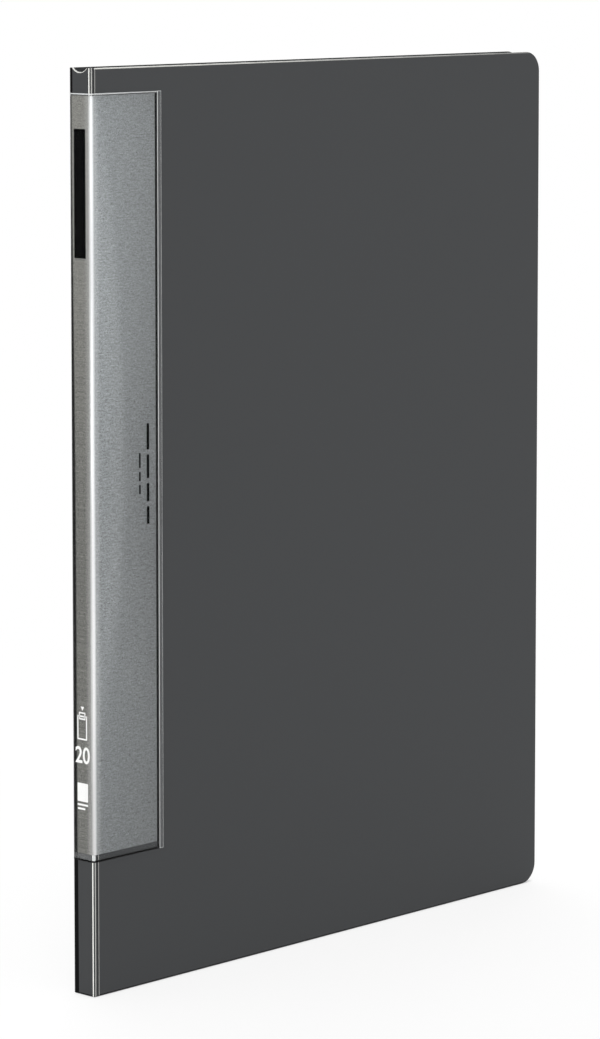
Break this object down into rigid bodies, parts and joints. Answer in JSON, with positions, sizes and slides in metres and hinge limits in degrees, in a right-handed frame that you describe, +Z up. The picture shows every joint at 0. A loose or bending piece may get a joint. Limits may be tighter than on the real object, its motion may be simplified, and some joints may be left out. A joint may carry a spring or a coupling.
{
  "type": "clear pocket display book",
  "caption": "Upright clear pocket display book: creased plastic covers and spine, clear pocket leaves on a binding comb, and a title card in a clear sleeve round the spine.",
  "frame": {"origin": "bottom centre of the bounding box of the closed book standing on its foot", "axes": "+Z up along the spine, +X from spine to fore edge, -Y the front cover's face"},
  "size_m": [0.3236, 0.015, 0.437],
  "materials": {
    "cover_sheet": "fine matt",
    "title_card": "silver, fine grain",
    "sleeve_film": "clear",
    "pocket_film": "clear",
    "binding_film": "welded film"
  },
  "bodies": {
    "spine": {"spine_panel": "cover_sheet", "binding_comb": "binding_film", "title_card_spine": "title_card", "label_sleeve_spine": "sleeve_film", "front_hinge_strip": "cover_sheet", "title_card_front_fold": "title_card", "label_sleeve_front_fold": "sleeve_film", "back_hinge_strip": "cover_sheet", "title_card_back_fold": "title_card", "label_sleeve_back_fold": "sleeve_film"},
    "front_cover": {"front_cover": "cover_sheet", "title_card_front": "title_card", "label_sleeve_front": "sleeve_film"},
    "back_cover": {"back_cover": "cover_sheet", "title_card_back": "title_card", "label_sleeve_back": "sleeve_film"},
    "pocket_01": {"pocket_01": "pocket_film"},
    "pocket_02": {"pocket_02": "pocket_film"},
    "pocket_03": {"pocket_03": "pocket_film"},
    "pocket_04": {"pocket_04": "pocket_film"},
    "pocket_05": {"pocket_05": "pocket_film"},
    "pocket_06": {"pocket_06": "pocket_film"},
    "pocket_07": {"pocket_07": "pocket_film"},
    "pocket_08": {"pocket_08": "pocket_film"},
    "pocket_09": {"pocket_09": "pocket_film"},
    "pocket_10": {"pocket_10": "pocket_film"},
    "pocket_11": {"pocket_11": "pocket_film"},
    "pocket_12": {"pocket_12": "pocket_film"},
    "pocket_13": {"pocket_13": "pocket_film"},
    "pocket_14": {"pocket_14": "pocket_film"},
    "pocket_15": {"pocket_15": "pocket_film"},
    "pocket_16": {"pocket_16": "pocket_film"},
    "pocket_17": {"pocket_17": "pocket_film"},
    "pocket_18": {"pocket_18": "pocket_film"},
    "pocket_19": {"pocket_19": "pocket_film"},
    "pocket_20": {"pocket_20": "pocket_film"}
  },
  "joints": [
    {"name": "front_cover_fold", "type": "hinge", "parent": "spine", "child": "front_cover", "pos_m": [-0.1589, -0.00655, 0], "axis": [0, 0, -1], "range_deg": [0, 90], "deforming": ["title_card_front_fold", "label_sleeve_front_fold"]},
    {"name": "back_cover_fold", "type": "hinge", "parent": "spine", "child": "back_cover", "pos_m": [-0.1589, 0.00655, 0], "axis": [0, 0, 1], "range_deg": [0, 90], "deforming": ["title_card_back_fold", "label_sleeve_back_fold"]},
    {"name": "pocket_01_turn", "type": "hinge", "parent": "spine", "child": "pocket_01", "pos_m": [-0.15783, -0.00505, 0], "axis": [0, 0, -1], "range_deg": [0, 88]},
    {"name": "pocket_02_turn", "type": "hinge", "parent": "spine", "child": "pocket_02", "pos_m": [-0.15733, -0.00452, 0], "axis": [0, 0, -1], "range_deg": [0, 79.2]},
    {"name": "pocket_03_turn", "type": "hinge", "parent": "spine", "child": "pocket_03", "pos_m": [-0.15683, -0.00399, 0], "axis": [0, 0, -1], "range_deg": [0, 70.4]},
    {"name": "pocket_04_turn", "type": "hinge", "parent": "spine", "child": "pocket_04", "pos_m": [-0.15633, -0.00346, 0], "axis": [0, 0, -1], "range_deg": [0, 61.6]},
    {"name": "pocket_05_turn", "type": "hinge", "parent": "spine", "child": "pocket_05", "pos_m": [-0.15583, -0.00292, 0], "axis": [0, 0, -1], "range_deg": [0, 52.8]},
    {"name": "pocket_06_turn", "type": "hinge", "parent": "spine", "child": "pocket_06", "pos_m": [-0.15533, -0.00239, 0], "axis": [0, 0, -1], "range_deg": [0, 44]},
    {"name": "pocket_07_turn", "type": "hinge", "parent": "spine", "child": "pocket_07", "pos_m": [-0.15483, -0.00186, 0], "axis": [0, 0, -1], "range_deg": [0, 35.2]},
    {"name": "pocket_08_turn", "type": "hinge", "parent": "spine", "child": "pocket_08", "pos_m": [-0.15433, -0.00133, 0], "axis": [0, 0, -1], "range_deg": [0, 26.4]},
    {"name": "pocket_09_turn", "type": "hinge", "parent": "spine", "child": "pocket_09", "pos_m": [-0.15383, -0.0008, 0], "axis": [0, 0, -1], "range_deg": [0, 17.61]},
    {"name": "pocket_10_turn", "type": "hinge", "parent": "spine", "child": "pocket_10", "pos_m": [-0.15333, -0.00027, 0], "axis": [0, 0, -1], "range_deg": [0, 8.8]},
    {"name": "pocket_11_turn", "type": "hinge", "parent": "spine", "child": "pocket_11", "pos_m": [-0.15333, 0.00027, 0], "axis": [0, 0, 1], "range_deg": [0, 8.8]},
    {"name": "pocket_12_turn", "type": "hinge", "parent": "spine", "child": "pocket_12", "pos_m": [-0.15383, 0.0008, 0], "axis": [0, 0, 1], "range_deg": [0, 17.61]},
    {"name": "pocket_13_turn", "type": "hinge", "parent": "spine", "child": "pocket_13", "pos_m": [-0.15433, 0.00133, 0], "axis": [0, 0, 1], "range_deg": [0, 26.4]},
    {"name": "pocket_14_turn", "type": "hinge", "parent": "spine", "child": "pocket_14", "pos_m": [-0.15483, 0.00186, 0], "axis": [0, 0, 1], "range_deg": [0, 35.2]},
    {"name": "pocket_15_turn", "type": "hinge", "parent": "spine", "child": "pocket_15", "pos_m": [-0.15533, 0.00239, 0], "axis": [0, 0, 1], "range_deg": [0, 44]},
    {"name": "pocket_16_turn", "type": "hinge", "parent": "spine", "child": "pocket_16", "pos_m": [-0.15583, 0.00292, 0], "axis": [0, 0, 1], "range_deg": [0, 52.8]},
    {"name": "pocket_17_turn", "type": "hinge", "parent": "spine", "child": "pocket_17", "pos_m": [-0.15633, 0.00346, 0], "axis": [0, 0, 1], "range_deg": [0, 61.6]},
    {"name": "pocket_18_turn", "type": "hinge", "parent": "spine", "child": "pocket_18", "pos_m": [-0.15683, 0.00399, 0], "axis": [0, 0, 1], "range_deg": [0, 70.4]},
    {"name": "pocket_19_turn", "type": "hinge", "parent": "spine", "child": "pocket_19", "pos_m": [-0.15733, 0.00452, 0], "axis": [0, 0, 1], "range_deg": [0, 79.2]},
    {"name": "pocket_20_turn", "type": "hinge", "parent": "spine", "child": "pocket_20", "pos_m": [-0.15783, 0.00505, 0], "axis": [0, 0, 1], "range_deg": [0, 88]}
  ],
  "couplings": [
    {"joint": "pocket_01_turn", "follows": "front_cover_fold", "ratio": 0.9778},
    {"joint": "pocket_02_turn", "follows": "front_cover_fold", "ratio": 0.88},
    {"joint": "pocket_03_turn", "follows": "front_cover_fold", "ratio": 0.7822},
    {"joint": "pocket_04_turn", "follows": "front_cover_fold", "ratio": 0.6844},
    {"joint": "pocket_05_turn", "follows": "front_cover_fold", "ratio": 0.5867},
    {"joint": "pocket_06_turn", "follows": "front_cover_fold", "ratio": 0.4889},
    {"joint": "pocket_07_turn", "follows": "front_cover_fold", "ratio": 0.3911},
    {"joint": "pocket_08_turn", "follows": "front_cover_fold", "ratio": 0.2933},
    {"joint": "pocket_09_turn", "follows": "front_cover_fold", "ratio": 0.1956},
    {"joint": "pocket_10_turn", "follows": "front_cover_fold", "ratio": 0.0978},
    {"joint": "pocket_11_turn", "follows": "back_cover_fold", "ratio": 0.0978},
    {"joint": "pocket_12_turn", "follows": "back_cover_fold", "ratio": 0.1956},
    {"joint": "pocket_13_turn", "follows": "back_cover_fold", "ratio": 0.2933},
    {"joint": "pocket_14_turn", "follows": "back_cover_fold", "ratio": 0.3911},
    {"joint": "pocket_15_turn", "follows": "back_cover_fold", "ratio": 0.4889},
    {"joint": "pocket_16_turn", "follows": "back_cover_fold", "ratio": 0.5867},
    {"joint": "pocket_17_turn", "follows": "back_cover_fold", "ratio": 0.6844},
    {"joint": "pocket_18_turn", "follows": "back_cover_fold", "ratio": 0.7822},
    {"joint": "pocket_19_turn", "follows": "back_cover_fold", "ratio": 0.88},
    {"joint": "pocket_20_turn", "follows": "back_cover_fold", "ratio": 0.9778}
  ]
}
